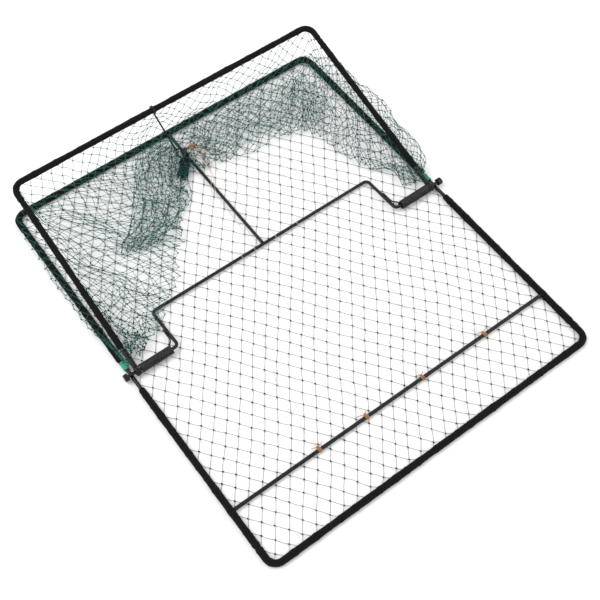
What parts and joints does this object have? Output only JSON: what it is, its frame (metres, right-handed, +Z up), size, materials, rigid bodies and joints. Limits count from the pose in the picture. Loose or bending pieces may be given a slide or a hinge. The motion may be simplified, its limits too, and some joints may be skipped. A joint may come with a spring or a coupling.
{
  "type": "spring bow-net trap",
  "caption": "Wire-framed folding clap-net trap: sprung wire bow with slack net over a flat netted base, held set by a hold-down rod and a trip-line catch.",
  "frame": {"origin": "centre of the base rectangle on the ground", "axes": "+X along the hinge line, +Y from the front bar to the back bar where the set bow lies, +Z up"},
  "size_m": [0.524, 0.6166, 0.095],
  "materials": {
    "frame_rod": "glossy black dipped wire",
    "binding": "matte black cord binding with thread ends",
    "spring_wire": "blackened spring wire",
    "net_thread": "thin twisted green nylon thread",
    "floor_thread": "thin twisted grey-green nylon thread with dark knots",
    "green_lashing": "bright green twine",
    "orange_twine": "orange-brown twisted twine",
    "clear_line": "translucent pinkish nylon line",
    "catch_metal": "worn dark steel"
  },
  "bodies": {
    "base": {"base_frame": "frame_rod", "cross_bar": "frame_rod", "centre_rod": "frame_rod", "yoke": "frame_rod", "left_end_collar": "frame_rod", "right_end_collar": "frame_rod", "front_binding": "binding", "back_binding": "binding", "left_front_binding": "binding", "right_front_binding": "binding", "left_back_binding": "binding", "right_back_binding": "binding", "left_spring": "spring_wire", "right_spring": "spring_wire", "left_lashing": "green_lashing", "right_lashing": "green_lashing", "base_net": "floor_thread", "left_bag_net": "net_thread", "right_bag_net": "net_thread", "back_bag_net": "net_thread", "gathered_net": "net_thread", "catch_saddle": "catch_metal", "line_knot": "orange_twine", "line_tie_1": "orange_twine", "line_tie_2": "orange_twine", "line_tie_3": "orange_twine", "line_tie_4": "orange_twine", "trip_line_1": "clear_line", "trip_line_2": "clear_line", "trip_line_3": "clear_line", "trip_line_4": "clear_line", "trip_cord": "orange_twine"},
    "bow": {"bow_frame": "frame_rod", "left_bow_binding": "binding", "right_bow_binding": "binding", "far_bow_binding": "binding", "left_spring_leg": "spring_wire", "right_spring_leg": "spring_wire"},
    "hold_down": {"hold_down_rod": "frame_rod"},
    "catch": {"catch_lever": "catch_metal", "catch_whipping": "orange_twine"}
  },
  "joints": [
    {"name": "bow_swing", "type": "hinge", "parent": "base", "child": "bow", "pos_m": [0, 0, 0.00855], "axis": [1, 0, 0], "range_deg": [0, 163]},
    {"name": "hold_down_pivot", "type": "hinge", "parent": "bow", "child": "hold_down", "pos_m": [-0.0246, 0.28606, 0.08842], "axis": [1, 0, 0], "range_deg": [-55, 0]},
    {"name": "catch_tilt", "type": "hinge", "parent": "base", "child": "catch", "pos_m": [0, 0.258, 0.0115], "axis": [1, 0, 0], "range_deg": [0, 30]}
  ]
}
